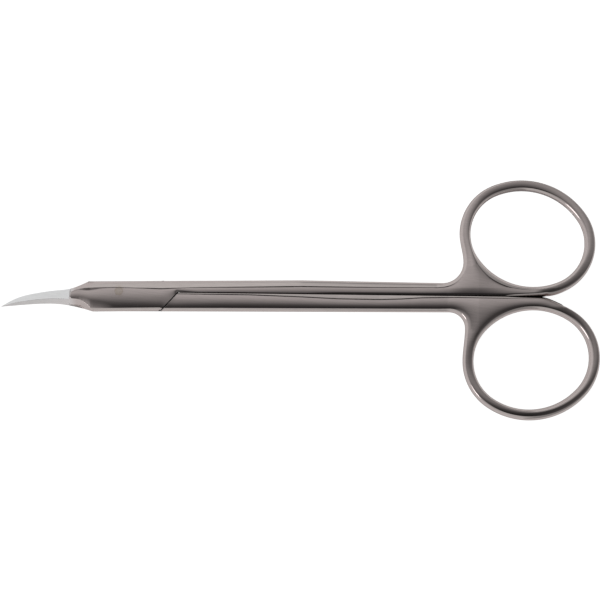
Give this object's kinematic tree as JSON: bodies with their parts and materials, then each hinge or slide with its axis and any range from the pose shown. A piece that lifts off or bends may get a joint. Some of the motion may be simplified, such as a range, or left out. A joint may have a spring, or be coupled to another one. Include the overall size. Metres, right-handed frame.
{
  "type": "suture scissors",
  "caption": "Fine suture scissors with oval finger rings, slim shanks, a screwed lap joint and short blades curved in the plane of the rings.",
  "frame": {"origin": "where the pivot axis meets the flat back face of the joint, on the rest plane", "axes": "+X from the joint along the shanks to the finger rings, +Y in the plane of the rings to the ring of the front half, +Z out of the front"},
  "size_m": [0.1151, 0.0461, 0.0034],
  "materials": {
    "polished_steel": "polished",
    "screw_steel": "ground flush and polished"
  },
  "bodies": {
    "rear": {"rear_half": "polished_steel"},
    "front": {"front_half": "polished_steel", "pivot_screw": "screw_steel"}
  },
  "joints": [
    {"name": "pivot", "type": "hinge", "parent": "rear", "child": "front", "pos_m": [0, 0, 0.0017], "axis": [0, 0, 1], "range_deg": [0, 130]}
  ]
}
